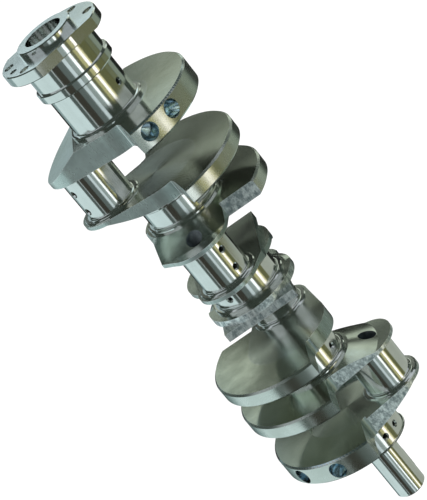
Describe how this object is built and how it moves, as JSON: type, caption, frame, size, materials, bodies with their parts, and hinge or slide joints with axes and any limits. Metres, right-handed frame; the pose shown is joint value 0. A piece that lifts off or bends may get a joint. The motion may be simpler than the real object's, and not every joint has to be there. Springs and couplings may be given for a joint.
{
  "type": "crankshaft",
  "caption": "Forged cross-plane V8 crankshaft with drilled rod journals, turned counterweights, a lobed flywheel flange and a keyed snout.",
  "frame": {"origin": "centre of the middle main journal, on the crank axis", "axes": "+X along the crank axis towards the snout, +Z the throw of rod journal 1"},
  "size_m": [0.6529, 0.185, 0.185],
  "materials": {
    "ground_steel": "ground and polished, mirror bright",
    "web_steel": "satin, machined forging",
    "weight_steel": "satin, turned rim",
    "flange_steel": "turned",
    "key_steel": "bright drawn"
  },
  "bodies": {
    "root": {"rear_flange": "flange_steel", "seal_journal": "ground_steel", "oil_slinger": "ground_steel", "main_journal_1": "ground_steel", "main_journal_2": "ground_steel", "main_journal_3": "ground_steel", "main_journal_4": "ground_steel", "main_journal_5": "ground_steel", "rod_journal_1": "ground_steel", "rod_journal_2": "ground_steel", "rod_journal_3": "ground_steel", "rod_journal_4": "ground_steel", "web_1": "web_steel", "web_2": "web_steel", "web_3": "web_steel", "web_4": "web_steel", "web_5": "web_steel", "web_6": "web_steel", "web_7": "web_steel", "web_8": "web_steel", "counterweight_1": "weight_steel", "counterweight_2": "weight_steel", "counterweight_3": "weight_steel", "counterweight_6": "weight_steel", "counterweight_7": "weight_steel", "counterweight_8": "weight_steel", "snout": "ground_steel", "timing_key": "key_steel", "damper_key": "key_steel"}
  },
  "joints": []
}
